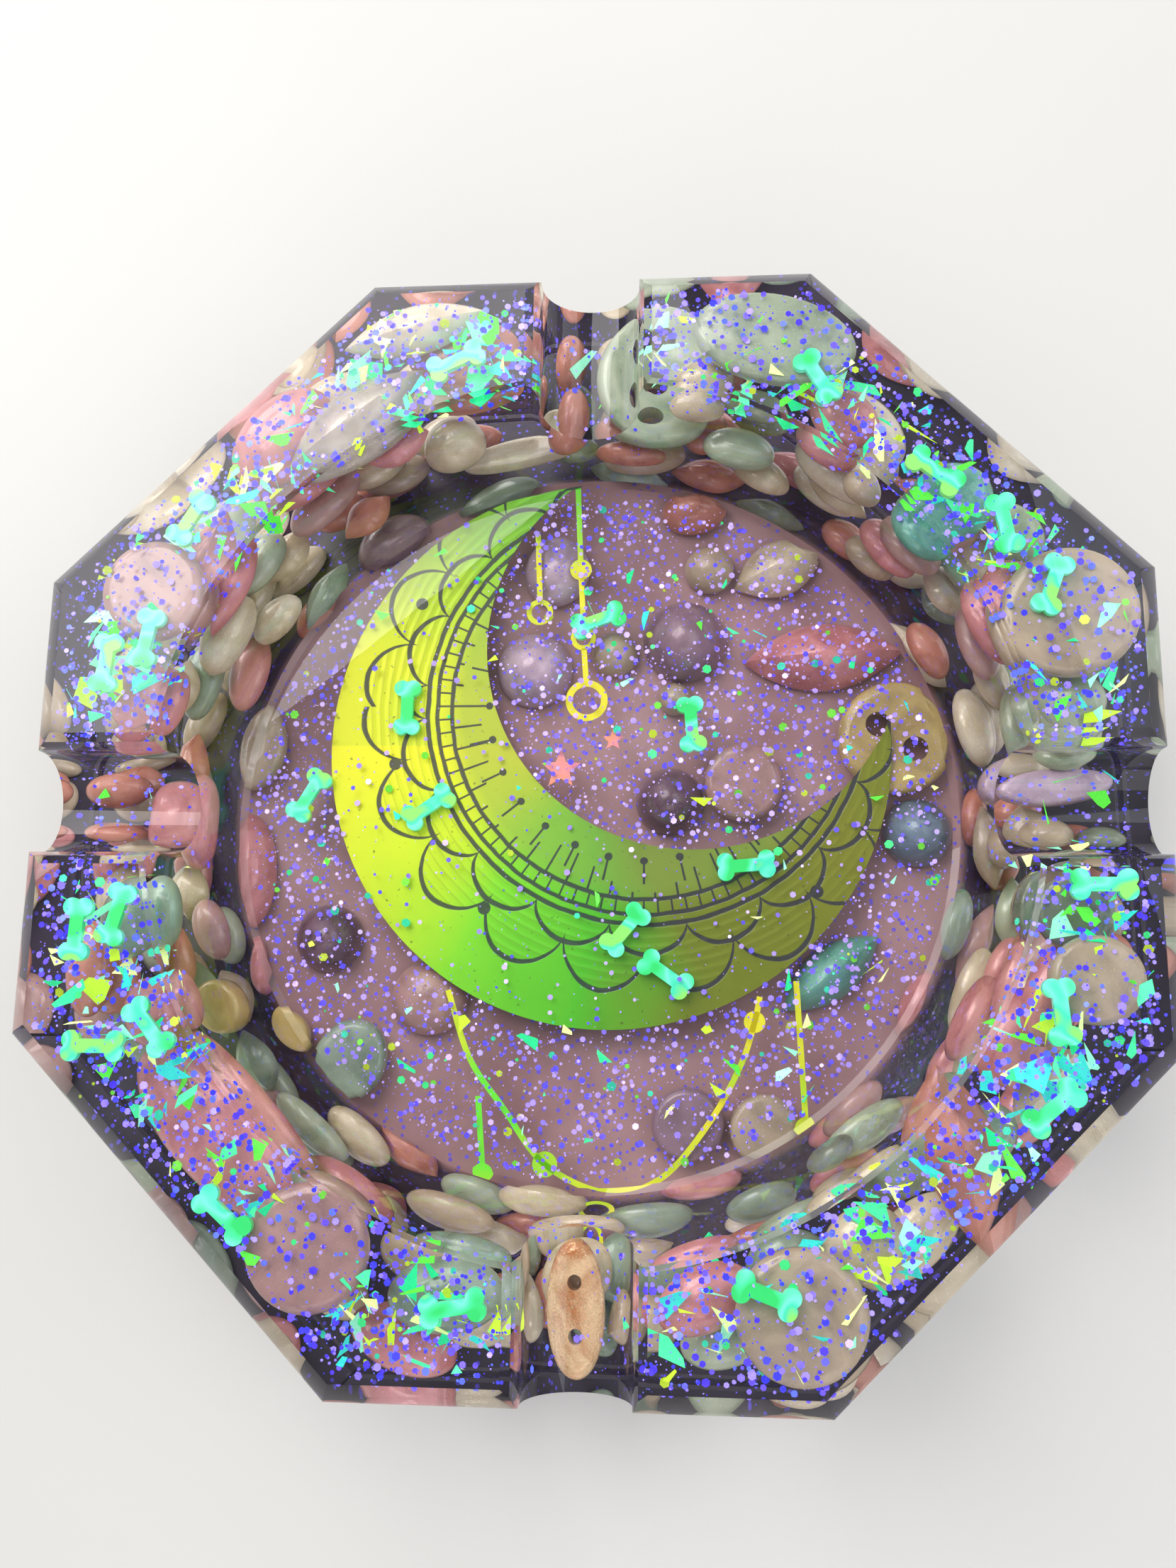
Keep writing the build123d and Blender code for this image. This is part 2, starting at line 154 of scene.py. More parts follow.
RING_BEADS = [
    ("tan_discs", "disc", -44.5, -23.5, DEEP, 8.4, 7, 3.4, 30),
    ("cream_ovals", "dome", -17.5, 46.8, RING, 9, 8, 3.9, 100),
    ("flat_oval", "disc", -9.5, 46.6, DEEP, 15, 4.4, 2.2, 12),
    ("pebble_ovals", "dome", -4.6, 55.2, DEEP, 8, 6, 3.6, 75),
    ("pebble_ovals", "dome", -3.2, 47.6, RING, 7.4, 5, 2.8, 80),
    ("pebble_ovals", "dome", -55.2, 4.2, DEEP, 8, 6.2, 3.8, 10),
    ("pebble_ovals", "dome", -55.0, -3.4, DEEP, 8, 4.2, 3.2, -8),
    ("pale_button", "button", 7.6, 52.0, RING, 14.6, 14.6, 2.4, 80),
    ("pebble_ovals", "dome", 4.4, 46.4, DEEP, 9, 4.2, 2.4, -5),
    ("pebble_ovals", "dome", 14.6, 50.6, DEEP, 8, 5.4, 2.8, 60),
    ("pink_barrel", "barrel", -47.4, -0.8, DEEP, 12, 6.8, 5.4, 88),
    ("shell_button", "button", -0.8, -52.2, RING, 14, 7.2, 2.4, 92),
    ("moss_pebbles", "dome", 27, -37.8, RING, 6, 5, 3.0, 40),
    ("moss_pebbles", "dome", 56.0, -4.2, DEEP, 5.4, 4.8, 3.2, 0),
    ("grey_oval", "disc", 51.2, 4.2, DEEP, 12.6, 5.8, 3.0, 8),
    ("small_beads", "dome", 50.2, -3.4, DEEP, 6, 6, 3.4, 0),
    ("rose_pebble", "dome", -28, -46, RING, 13, 9, 3.9, -40),
    ("rose_pebble", "dome", 44.5, -24, RING, 11, 7, 3.8, 65),
    ("ivory_pebble", "dome", 30.5, 43.5, RING, 12, 8, 3.9, -45),
    ("ivory_pebble", "dome", -45.5, 22.5, RING, 11, 7.4, 3.9, 65),
]
CORNER_BEADS = [
    ("ivory_marquise", "marquise", -20, 54.6, UPPER, 17, 6.2, 2.6, 15),
    ("silver_marquise", "marquise", -26.4, 43.9, UPPER, 19, 7.6, 2.6, 38),
    ("salmon_oval", "dome", -14.6, 52.6, UNDER, 13, 8, 2.9, 8),
    ("pink_ovals", "dome", -35.4, 42.8, UNDER, 14, 9.6, 2.9, 48),
    ("blush_disc", "disc", -48.2, 23.6, UPPER, 11.6, 11.6, 2.5, 0),
    ("pink_marquise", "marquise", -43.2, 27.4, UNDER, 14, 6, 2.9, 76),
    ("pink_ovals", "dome", -50.2, 12.6, UNDER, 8.4, 6, 2.9, 70),
    ("sage_ovals", "dome", -49, -12.4, UNDER, 9, 7, 2.9, 75),
    ("long_pink_oval", "dome", -38.4, -34.8, UNDER, 23, 9.6, 2.9, -45),
    ("blush_disc", "disc", -27.2, -45.6, UPPER, 12.8, 12.8, 2.5, 0),
    ("sage_ovals", "dome", -13.4, -50.2, UNDER, 12, 7.6, 2.9, 4),
    ("beige_disc", "disc", 22, -50.8, UPPER, 13, 13, 2.5, 0),
    ("cream_ovals", "dome", 28.4, -44.2, UNDER, 8.6, 7, 2.9, 30),
    ("pink_spindle", "marquise", 38.4, -35.8, UNDER, 17.4, 7.4, 2.9, 99),
    ("beige_disc", "disc", 51.6, -18.2, UPPER, 9.6, 9, 2.5, 0),
    ("olive_disc", "disc", 50.4, -11.4, UNDER, 8, 8, 2.7, 0),
    ("celadon_oval", "disc", 20.6, 52.0, UPPER, 18.4, 10.6, 2.5, -14),
    ("cream_marquise", "marquise", 20.4, 53.4, UNDER, 14, 6, 2.9, -8),
    ("cream_ovals", "dome", 12.8, 48.6, UNDER, 7, 5, 2.9, 10),
    ("small_beads", "dome", 31.8, 37.6, UNDER, 5, 5, 2.7, 0),
    ("sea_green_oval", "dome", 39.6, 33.4, UNDER, 10, 9, 2.9, 40),
    ("pink_ovals", "dome", 46.8, 21.6, UNDER, 11, 8, 2.9, 119),
    ("sand_disc", "disc", 51.0, 20.0, UPPER, 14.6, 14, 2.5, 30),
]
HOLE_SHARE, HOLE_SPREAD = 0.11, 0.19

# ---- the foil chain that hangs below the moon: its course, and its discs as (x, y, radius) ----
SWAG = [(-16.5, -19.4), (-13.8, -27), (-9.7, -32.6), (-5, -38.5), (2, -41.4), (8, -39.7),
        (13.2, -33.8), (16.8, -27.4), (18.4, -22.6), (19.1, -19.4)]  # fmt: skip
SWAG_DISCS = [(-5, -38.5, 1.4), (18.4, -22.6, 1.2)]
CHAIN_WIDTH, FOIL_THICK = 0.65, 0.12


# ---- material maths ----
def rgb(code):
    """A linear colour from a web colour."""
    parts = [int(code[i : i + 2], 16) / 255 for i in (1, 3, 5)]
    linear = [c / 12.92 if c <= 0.04045 else ((c + 0.055) / 1.055) ** 2.4 for c in parts]
    return (*linear, 1)


class Value:
    """A socket's output. Arithmetic on it adds Math nodes."""

    def __init__(self, paint, socket):
        self.paint, self.socket = paint, socket

    def math(self, operation, *others):
        return self.paint.math(operation, self, *others)

    def __add__(self, other):
        return self.math("ADD", other)

    def __radd__(self, other):
        return self.math("ADD", other)

    def __sub__(self, other):
        return self.math("SUBTRACT", other)

    def __rsub__(self, other):
        return self.paint.math("SUBTRACT", other, self)

    def __mul__(self, other):
        return self.math("MULTIPLY", other)

    def __rmul__(self, other):
        return self.math("MULTIPLY", other)

    def __truediv__(self, other):
        return self.math("DIVIDE", other)

    def __pow__(self, other):
        return self.math("POWER", other)

    def __abs__(self):
        return self.math("ABSOLUTE")

    def __lt__(self, other):
        return self.math("LESS_THAN", other)

    def __gt__(self, other):
        return self.math("GREATER_THAN", other)


class Paint:
    """One material, built node by node."""

    def __init__(self, name):
        self.material = bpy.data.materials.new(name)
        self.material.use_nodes = True
        self.tree = self.material.node_tree
        self.tree.nodes.clear()

    def add(self, kind, settings=None, sockets=None, out=0):
        """Adds a node: its settings first, then its sockets' values or links. Returns one output."""
        node = self.tree.nodes.new(kind)
        for key, setting in (settings or {}).items():
            if key == "stops":
                self.set_stops(node.color_ramp, setting)
            else:
                setattr(node, key, setting)
        for key, given in (sockets or {}).items():
            if isinstance(given, Value):
                self.tree.links.new(given.socket, node.inputs[key])
            else:
                node.inputs[key].default_value = given
        return Value(self, node.outputs[out]) if node.outputs else None

    @staticmethod
    def set_stops(ramp, stops):
        while len(ramp.elements) < len(stops):
            ramp.elements.new(0.5)
        for element, (place, colour) in zip(ramp.elements, stops):
            element.position = place
            element.color = colour

    def math(self, operation, *numbers):
        return self.add("ShaderNodeMath", {"operation": operation}, dict(enumerate(numbers)))

    def ramp(self, factor, stops, interpolation="LINEAR"):
        node = self.add("ShaderNodeValToRGB", {"stops": stops}, {0: factor})
        node.socket.node.color_ramp.interpolation = interpolation
        return node

    def mix(self, factor, first, second):
        """Colours 6 and 7 of a Mix node, whose colour output is the third."""
        return self.add("ShaderNodeMix", {"data_type": "RGBA"}, {0: factor, 6: first, 7: second}, 2)

    def noise(self, scale, detail=3.0, distortion=0.0):
        where = self.add("ShaderNodeTexCoord", out="Object")
        sockets = {"Vector": where, "Scale": scale, "Detail": detail, "Distortion": distortion}
        return self.add("ShaderNodeTexNoise", None, sockets)

    def plan(self):
        """x and y over the object, in millimetres."""
        where = self.add("ShaderNodeTexCoord", out="Object")
        x = self.add("ShaderNodeSeparateXYZ", None, {0: where}, "X")
        y = Value(self, x.socket.node.outputs["Y"])
        return x * 1000, y * 1000

    def bump(self, height, strength, distance):
        sockets = {"Height": height, "Strength": strength, "Distance": distance}
        return self.add("ShaderNodeBump", None, sockets)

    def surface(self, sockets):
        shader = self.add("ShaderNodeBsdfPrincipled", None, sockets)
        self.finish(shader)
        return self.material

    def finish(self, shader):
        self.add("ShaderNodeOutputMaterial", None, {"Surface": shader})


# ---- materials ----
def resin_paint():
    """Clear resin. Rays towards lamps go straight through, so that what is sealed in it is lit."""
    paint = Paint("clear_resin")
    ripple = paint.noise(60, 2.0)
    normal = paint.bump(ripple, 0.05, 0.0004)
    glass = paint.add(
        "ShaderNodeBsdfGlass",
        None,
        {"Color": (0.985, 0.98, 1.0, 1), "Roughness": 0.0, "IOR": 1.49, "Normal": normal},
    )
    clear = paint.add("ShaderNodeBsdfTransparent", None, {"Color": (0.97, 0.96, 0.99, 1)})
    shadow = paint.add("ShaderNodeLightPath", out="Is Shadow Ray")
    paint.finish(paint.add("ShaderNodeMixShader", None, {0: shadow, 1: glass, 2: clear}))
    return paint.material


def bed_paint():
    """The base layer: mauve under the well, painted shade under the rim (a near-black that stands in for
    the dark seen through the clear resin), full of fine flakes.
    """
    paint = Paint("plum_bed_with_painted_shade")
    x, y = paint.plan()
    radius = (x * x + y * y) ** 0.5
    clouds = paint.noise(70, 4.0)
    inner = paint.ramp(clouds, [(0.3, rgb("#8a6162")), (0.7, rgb("#b68f8c"))])
    # Near-black under the rim is painted shade, not a colour the layer has.
    outer = paint.ramp(clouds, [(0.3, rgb("#14131f")), (0.7, rgb("#3a2f42"))])
    base = paint.mix(paint_clamp((radius - 45) * 0.4), inner, outer)
    where = paint.add("ShaderNodeTexCoord", out="Object")
    cells = paint.add("ShaderNodeTexVoronoi", None, {"Vector": where, "Scale": 900.0})
    speck = cells < 0.22
    base = paint.mix(speck * 0.8, base, rgb("#6a5cf0"))
    return paint.surface({"Base Color": base, "Roughness": 0.45, "Metallic": speck * 0.5})


def pearl_paint(name, main, second, pearly):
    """Moulded pearlescent plastic: slow swirls of two shades, fine mica and a clear gloss."""
    paint = Paint(name)
    swirl = paint.noise(130, 3.0, 1.6)
    colour = paint.ramp(swirl, [(0.32, rgb(second)), (0.62, rgb(main))])
    mica = paint.noise(5000, 1.0)
    pale = tuple(min(1.0, c * 1.35 + 0.03) for c in rgb(main)[:3]) + (1,)
    colour = paint.mix((mica > 0.66) * (0.25 + 0.5 * pearly), colour, pale)
    sockets = {
        "Base Color": colour,
        "Roughness": 0.2 + swirl * 0.22,
        "Metallic": (mica > 0.5) * (0.6 * pearly),
        "Coat Weight": 0.7,
        "Coat Roughness": 0.06,
        "Normal": paint.bump(swirl, 0.1, 0.0003),
    }
    return paint.surface(sockets)


def flake_paint(name, colours, metallic, painted_glow):
    """Flakes that each take one of several colours, and glow with it as painted sparkle."""
    paint = Paint(name)
    own = paint.add("ShaderNodeNewGeometry", out="Random Per Island")
    stops = [(i / len(colours), rgb(c)) for i, c in enumerate(colours)]
    colour = paint.ramp(own, stops, "CONSTANT")
    grain = paint.noise(2500, 2.0)
    sockets = {
        "Base Color": colour,
        # Emission here is painted sparkle: the flakes make no light.
        "Emission Color": colour,
        "Emission Strength": painted_glow,
        "Metallic": metallic,
        "Roughness": 0.16 + grain * 0.2,
    }
    return paint.surface(sockets)


def film_paint(name, colours, painted_glow):
    """Thin film whose colour drifts from place to place, with a glow that paints its sheen."""
    paint = Paint(name)
    drift = paint.noise(260, 1.0)
    first, last = 0.36, 0.64
    step = (last - first) / (len(colours) - 1)
    colour = paint.ramp(drift, [(first + step * i, rgb(c)) for i, c in enumerate(colours)])
    sockets = {
        # Emission here is painted sheen: the film makes no light.
        "Base Color": colour,
        "Emission Color": colour,
        "Emission Strength": painted_glow,
        "Metallic": 0.1,
        "Roughness": 0.2 + drift * 0.15,
    }
    return paint.surface(sockets)


def drawn(distance, width):
    """1 on a line of that half-width, 0 away from it, with soft sides."""
    edge = 0.12
    return paint_clamp((width + edge - abs(distance)) / edge)


def paint_clamp(value):
    """The value, kept between 0 and 1."""
    return value.math("MAXIMUM", 0.0).math("MINIMUM", 1.0)


def darkest(*inks):
    """The strongest of several inks at each place."""
    whole = inks[0]
    for ink in inks[1:]:
        whole = whole.math("MAXIMUM", ink)
    return whole


def spokes(turn, count, width):
    """1 on lines that run outwards, two for each count of the whole turn."""
    return abs((turn * count).math("SINE")) < width


def scallop(turn, offset, pitch):
    """How far a row of petals reaches outwards: 0 between two petals, 1 at a tip."""
    wave = abs(((turn + offset) * (pi / pitch)).math("COSINE"))
    return wave**0.55


def petal_rows(turn):
    """Radii of the petals' edges in the front row and in the row behind it."""
    pitch, first = radians(19.5), -radians(154.8)
    front = BAND[2] + 2.6 + 5.2 * scallop(turn, first, pitch)
    back = BAND[2] + 0.2 + 3.2 * scallop(turn, first + pitch / 2, pitch)
    return front, back


def band_lines(reach, turn):
    """Three rails round the band, and a ladder between the inner two."""
    outer, inner = BAND[2] - 1.15, BAND[2] - 2.9
    rails = darkest(drawn(reach - BAND[2], 0.22), drawn(reach - outer, 0.19), drawn(reach - inner, 0.19))
    row = (reach < outer) * (reach > inner)
    return darkest(rails, row * spokes(turn, 46, 0.22))


def fringe_lines(reach, turn):
    """Ticks inside the band, and sprigs that each end in a berry."""
    tick_ends = BAND[2] - 5.2 + 1.6 * (turn * 7).math("SINE")
    ticks = (reach < BAND[2] - 2.9) * (reach > tick_ends) * spokes(turn, 27, 0.16)
    sprigs, tip, berry_area = 14, BAND[2] - 7.4, 0.2
    stems = spokes(turn, sprigs, 0.09) * (reach < BAND[2] - 4.6) * (reach > tip)
    off_x, off_y = abs((turn * sprigs).math("SINE")) * reach * (1 / sprigs), reach - tip
    berries = (off_x * off_x + off_y * off_y) < berry_area
    return darkest(ticks, stems, berries)


def dots(x, y, radius):
    """A round dot at each of the moon's marked places."""
    inks = []
    for dot_x, dot_y in MOON_DOTS:
        away = ((x - dot_x) * (x - dot_x) + (y - dot_y) * (y - dot_y)) ** 0.5
        inks.append(away < radius)
    return darkest(*inks)


FOIL_STOPS = [  # share of the way round the moon from its left side, colour
    (0.00, "#e8e208"), (0.07, "#cbe010"), (0.15, "#7cd418"), (0.23, "#4cb814"), (0.31, "#6f7d08"),
    (0.45, "#7a800c"), (0.60, "#72860f"), (0.74, "#44c834"), (0.85, "#94cc1a"), (0.94, "#d4da0e"),
]  # fmt: skip


def foil_paint():
    """Holographic foil: yellow, lime and olive round the crescent, with an engraved lace of lines."""
    paint = Paint("moon_foil")
    x, y = paint.plan()
    around = (y - MOON[1]).math("ARCTAN2", x - MOON[0]) / (2 * pi) + 0.5
    sheen = paint.noise(45, 2.0, 0.6)
    place = around + (sheen - 0.5) * 0.09
    colour = paint.ramp(place, [(share, rgb(code)) for share, code in FOIL_STOPS])
    from_x, from_y = x - BAND[0], y - BAND[1]
    reach = (from_x * from_x + from_y * from_y) ** 0.5
    turn = from_y.math("ARCTAN2", from_x)
    fade = paint_clamp((BAND[2] - 1.5 - reach) * 0.35)
    colour = paint.mix(fade * 0.55, colour, rgb("#83a040"))
    wobble = (paint.noise(380, 2.0) - 0.5) * 0.35
    reach = reach + wobble
    front, back = petal_rows(turn)
    edges = darkest(drawn(reach - front, 0.24), drawn(reach - back, 0.24))
    ink = darkest(band_lines(reach, turn), edges, fringe_lines(reach, turn), dots(x, y, 0.75))
    petals = (reach > BAND[2] + 0.4) * (front.math("MAXIMUM", back) > reach)
    ripple = (reach * 6.0).math("SINE")
    colour = paint.mix(petals * (ripple > 0.8) * 0.2, colour, rgb("#5c6410"))
    grain = paint.noise(1600, 3.0)
    colour = paint.mix((grain > 0.69) * 0.6, colour, rgb("#3c420a"))
    colour = paint.mix(ink * 0.92, colour, rgb("#17162a"))
    sockets = {
        "Base Color": colour,
        "Metallic": 0.25 - ink * 0.25,
        "Roughness": 0.3 + grain * 0.15,
        "Normal": paint.bump(ripple * petals * 0.3 - ink, 0.3, 0.00012),
    }
    return paint.surface(sockets)


def chain_paint():
    """Narrow foil lines, green and gold by turns, with a faint glow that paints their shine."""
    paint = Paint("chain_foil")
    tone = paint.noise(60, 2.0)
    colour = paint.ramp(tone, [(0.35, rgb("#62dc2c")), (0.5, rgb("#a4d41c")), (0.62, rgb("#dcd620"))])
    sockets = {
        # Emission here is painted shine: the foil makes no light.
        "Base Color": colour,
        "Emission Color": colour,
        "Emission Strength": 0.25,
        "Metallic": 0.1,
        "Roughness": 0.3 + tone * 0.1,
    }
    return paint.surface(sockets)


def table_paint():
    """A plain pale table."""
    paint = Paint("table_top")
    cloud = paint.noise(6, 2.0)
    tone = paint.ramp(cloud, [(0.3, rgb("#dcdad6")), (0.7, rgb("#e4e2de"))])
    return paint.surface({"Base Color": tone, "Roughness": 0.6})


# ---- mesh helpers ----
def piece(name, mesh, material, slot):
    """A mesh in the scene with its material. One with a slot rides on the dish."""
    made = bpy.data.objects.new(name, mesh)
    bpy.context.scene.collection.objects.link(made)
    mesh.materials.clear()
    mesh.materials.append(material)
    if slot:
        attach(made, BODY)
    return made


def smooth(mesh, degrees):
    """Smooth shading, with edges sharper than that angle left crisp."""
    mesh.polygons.foreach_set("use_smooth", [True] * len(mesh.polygons))
    mesh.set_sharp_from_angle(angle=radians(degrees))


def mesh_of(name, points, faces):
    """A mesh from points in millimetres."""
    mesh = bpy.data.meshes.new(name)
    mesh.from_pydata([(x * MM, y * MM, z * MM) for x, y, z in points], [], faces)
    tidy = bmesh.new()
    tidy.from_mesh(mesh)
    bmesh.ops.recalc_face_normals(tidy, faces=tidy.faces)
    tidy.to_mesh(mesh)
    tidy.free()
    return mesh


def rings_mesh(name, rings):
    """A closed skin over rings of equally many points, capped at both ends."""
    count = len(rings[0])
    points = [p for ring in rings for p in ring]
    faces = []
    for r in range(len(rings) - 1):
        for i in range(count):
            j = (i + 1) % count
            faces.append((r * count + i, r * count + j, (r + 1) * count + j, (r + 1) * count + i))
    faces.append(tuple(reversed(range(count))))
    faces.append(tuple(range(len(points) - count, len(points))))
    return mesh_of(name, points, faces)


def octagon(inset, z):
    """The dish's outline at one height, inset from its flats."""
    corner = (ACROSS_FLATS / 2 - inset) / cos(pi / 8)
    turns = [pi / 8 + i * pi / 4 for i in range(8)]
    return [(corner * cos(t), corner * sin(t), z) for t in turns]


def circle(radius, z, count=160):
    """A ring of points at one height."""
    return [(radius * cos(2 * pi * i / count), radius * sin(2 * pi * i / count), z) for i in range(count)]


def cut(block, tool):
    """block's mesh with tool's taken out of it."""
    holder = bpy.data.objects.new("block", block)
    cutter = bpy.data.objects.new("cutter", tool)
    for made in (holder, cutter):
        bpy.context.scene.collection.objects.link(made)
    boolean = holder.modifiers.new("cut", "BOOLEAN")
    boolean.operation, boolean.object, boolean.solver = "DIFFERENCE", cutter, "EXACT"
    depsgraph = bpy.context.evaluated_depsgraph_get()
    result = bpy.data.meshes.new_from_object(holder.evaluated_get(depsgraph))
    for made in (holder, cutter):
        bpy.data.objects.remove(made)
    return result


# ---- the resin ----
def well_core():
    """What the mould's middle keeps free: the well, with a bevelled foot and a flared lip."""
    rings = [
        circle(FOOT_RADIUS - FLOOR_BEVEL, FLOOR_Z),
        circle(FOOT_RADIUS - 0.35 * FLOOR_BEVEL, FLOOR_Z + 0.35 * FLOOR_BEVEL),
        circle(FOOT_RADIUS, FLOOR_Z + FLOOR_BEVEL),
        circle(TOP_RADIUS, HEIGHT - LIP),
        circle(TOP_RADIUS + 0.3 * LIP, HEIGHT - 0.35 * LIP),
        circle(TOP_RADIUS + LIP, HEIGHT),
        circle(TOP_RADIUS + LIP, HEIGHT + 2),
    ]
    return rings_mesh("well_core", rings)


def notch_section():
    """A full-round U with flared lips, as points across and up."""
    radius = NOTCH_WIDTH / 2
    centre = HEIGHT - NOTCH_DEPTH + radius
    steps = 24
    half = [(radius + NOTCH_LIP, HEIGHT + 2), (radius + NOTCH_LIP, HEIGHT)]
    half.append((radius + 0.4 * NOTCH_LIP, HEIGHT - 0.4 * NOTCH_LIP))
    half.append((radius, HEIGHT - 1.3 * NOTCH_LIP))
    bowl = [
        (radius * cos(pi * i / steps), centre - radius * sin(pi * i / steps)) for i in range(steps + 1)
    ]
    return half + bowl + [(-across, up) for across, up in reversed(half)]


def notch_ridge(along_x):
    """A ridge right across the mould, which leaves two facing notches."""
    rings = []
    for end in (-ACROSS_FLATS, ACROSS_FLATS):
        section = notch_section()
        rings.append([(end, a, z) if along_x else (a, end, z) for a, z in section])
    return rings_mesh("ridge", rings)


def make_resin(material):
    """One clear body in the place of the six upper pours, which bond as they set."""
    rings = [
        octagon(BASE_CHAMFER, 0),
        octagon(0, BASE_CHAMFER),
        octagon(0, HEIGHT - RIM_CHAMFER),
        octagon(0.25 * RIM_CHAMFER, HEIGHT - 0.6 * RIM_CHAMFER),
        octagon(RIM_CHAMFER, HEIGHT),
    ]
    mesh = cut(rings_mesh("cast_resin", rings), well_core())
    mesh = cut(mesh, notch_ridge(True))
    mesh = cut(mesh, notch_ridge(False))
    smooth(mesh, 24)
    made = piece("cast_resin", mesh, material, "clear_resin")
    corners = [f"{end}_{side}_pour" for end in ("back", "front") for side in ("left", "right")]
    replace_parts(made, "floor_pour", "ring_pour", *corners)


def make_bed(material):
    """The base layer, mauve with painted shade under the rim, with a thin clear skin round and below it.
    """
    skin, bevel = 0.35, 0.4
    rings = [
        octagon(skin + BASE_CHAMFER, skin),
        octagon(skin, skin + BASE_CHAMFER),
        octagon(skin, BASE_TOP - bevel),
        octagon(skin + bevel, BASE_TOP),
    ]
    mesh = rings_mesh("plum_bed_with_painted_shade", rings)
    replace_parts(piece("plum_bed_with_painted_shade", mesh, material, "clear_resin"), "base_pour")


# ---- beads ----
ROUND_STEPS = 48
PROFILES = {  # share of the outline, share of the height
    "dome": [(0.93, 0.0), (0.99, 0.05), (1.0, 0.13), (0.985, 0.28), (0.93, 0.46), (0.82, 0.65),
             (0.66, 0.81), (0.47, 0.92), (0.25, 0.98), (0.06, 1.0)],
    "pearl": [(0.95, 0.0), (1.0, 0.04), (0.99, 0.14), (0.95, 0.31), (0.86, 0.51), (0.73, 0.69),
              (0.56, 0.84), (0.37, 0.94), (0.18, 0.985), (0.04, 1.0)],
    "marquise": [(0.94, 0.0), (1.0, 0.08), (0.985, 0.2), (0.9, 0.42), (0.76, 0.62), (0.58, 0.8),
                 (0.37, 0.92), (0.16, 0.985), (0.04, 1.0)],
    "disc": [(0.9, 0.0), (0.97, 0.08), (1.0, 0.3), (1.0, 0.6), (0.975, 0.84), (0.92, 0.96),
             (0.8, 1.0), (0.4, 0.985), (0.05, 0.98)],
    "barrel": [(0.3, 0.0), (0.62, 0.09), (0.86, 0.27), (0.97, 0.44), (0.97, 0.56), (0.86, 0.73),
               (0.62, 0.91), (0.3, 1.0), (0.05, 1.0)],
}  # fmt: skip


def outline_point(shape, turn, length, width):
    """A point of a bead's outline, at that turn from its long axis."""
    across, along = sin(turn), cos(turn)
    if shape == "marquise":
        return length / 2 * along, width / 2 * across * abs(across)
    if shape == "barrel":
        return length / 2 * abs(along) ** 0.6 * (1 if along > 0 else -1), width / 2 * across
    return length / 2 * along, width / 2 * across


def bead_mesh(shape, length, width, height):
    """A bead with its flat back on z = 0."""
    profile = PROFILES["disc" if shape == "button" else shape]
    turns = [2 * pi * i / ROUND_STEPS for i in range(ROUND_STEPS)]
    rings = [
        [(*[share * c for c in outline_point(shape, t, length, width)], height * up) for t in turns]
        for share, up in profile
    ]
    mesh = rings_mesh("bead", rings)
    if shape == "button":
        radius = HOLE_SHARE * width
        for way in (-1, 1):
            middle = way * HOLE_SPREAD * length
            hole = [[(x + middle, y, z) for x, y, z in circle(radius, z, 24)] for z in (-1, height + 1)]
            mesh = cut(mesh, rings_mesh("hole", hole))
    return mesh


def joined(name, placed):
    """One mesh from (mesh, matrix) pairs."""
    whole = bmesh.new()
    for mesh, matrix in placed:
        mesh.transform(matrix)
        whole.from_mesh(mesh)
    result = bpy.data.meshes.new(name)
    whole.to_mesh(result)
    whole.free()
    return result


def make_beads():
    """Every large bead, in the place of its plain solid. Returns the bead paints by finish."""
    slots = {row["node"]: row["material_slot"] for row in frame["record"]["subparts"]}
    by_node = {}
    for node, shape, x, y, bed, length, width, height, turn in FLOOR_BEADS + RING_BEADS + CORNER_BEADS:
        matrix = Matrix.Translation((x * MM, y * MM, bed * MM)) @ Matrix.Rotation(radians(turn), 4, "Z")
        by_node.setdefault(node, []).append((bead_mesh(shape, length, width, height), matrix))
    paints = {name: pearl_paint(f"{name}_pearl", *finish) for name, finish in FINISHES.items()}
    for node, placed in by_node.items():
        mesh = joined(node, placed)
        smooth(mesh, 50)
        made = piece(f"{node}_bead", mesh, paints[BEAD_FINISH[node]], slots[node])
        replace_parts(made, node)
    return paints


# ---- small beads deep in the rim ----
PEBBLE_HEIGHT = 2.6
PEBBLE_BEDS = (LOW, MIDDLE, DEEP, RING, UNDER)
PEBBLE_TRIES = 900
SPACING = 0.46  # closest two beads may lie, as a share of their lengths' sum
SPREAD = 58  # half the square that random places are drawn from


def clear_of(others, x, y, bed, length):
    """True if a bead here would touch none of the others, each (x, y, bed, length, height)."""
    for other_x, other_y, other_bed, other_length, height in others:
        level = other_bed - PEBBLE_HEIGHT < bed < other_bed + height
        if level and hypot(x - other_x, y - other_y) < SPACING * (length + other_length):
            return False
    return True


def pebble_room(x, y, bed, length, width):
    """True if the resin reaches all round a bead at that height, its length along the wall."""
    reach = ACROSS_FLATS / 2 - 1.2 - width / 2
    if max(abs(x), abs(y)) > reach or (abs(x) + abs(y)) / 2**0.5 > reach:
        return False
    if bed > RING_TOP:
        return in_rim(x, y, width / 2 - 1.0) and min(abs(x), abs(y)) > (NOTCH_WIDTH + length) / 2
    wall = FOOT_RADIUS + 2.5 if bed > FLOOR_Z else FOOT_RADIUS - 0.5
    return hypot(x, y) > wall + width / 2


